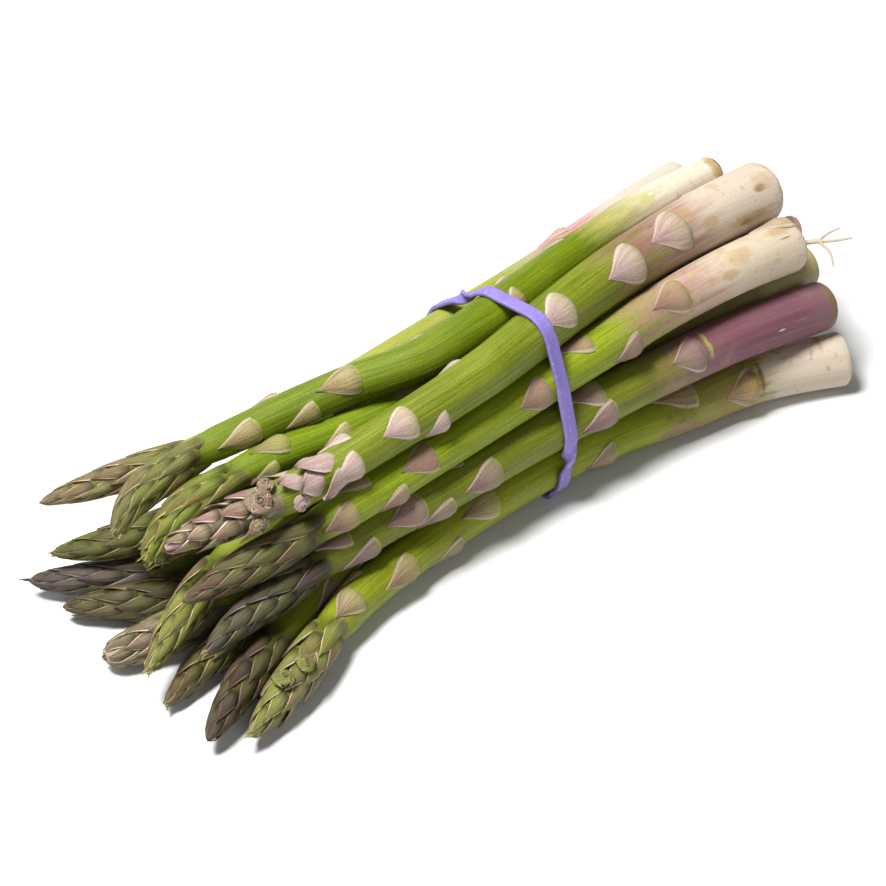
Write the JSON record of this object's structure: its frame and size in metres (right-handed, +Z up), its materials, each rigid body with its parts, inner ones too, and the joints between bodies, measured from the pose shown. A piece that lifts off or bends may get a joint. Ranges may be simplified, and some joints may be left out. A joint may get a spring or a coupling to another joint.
{
  "type": "bundle of asparagus",
  "caption": "Bunch of fresh green asparagus spears with scaly heads and pale cut ends, held at the middle by a twisted rubber band, lying on its side.",
  "frame": {"origin": "middle of the rubber band's flat underside, on the surface that the bunch lies on", "axes": "+X along the bunch from the tips to the cut ends, +Y across it to its back, +Z up"},
  "size_m": [0.2436, 0.1027, 0.0592],
  "materials": {
    "asparagus": "satin, yellow-green stalk, olive and mauve scales, cream cut end",
    "rubber": "matte periwinkle"
  },
  "bodies": {
    "root": {"spear_01": "asparagus", "spear_02": "asparagus", "spear_03": "asparagus", "spear_04": "asparagus", "spear_05": "asparagus", "spear_06": "asparagus", "spear_07": "asparagus", "spear_08": "asparagus", "spear_09": "asparagus", "spear_10": "asparagus", "spear_11": "asparagus", "spear_12": "asparagus", "spear_13": "asparagus", "spear_14": "asparagus", "spear_15": "asparagus", "rubber_band": "rubber"}
  },
  "joints": []
}
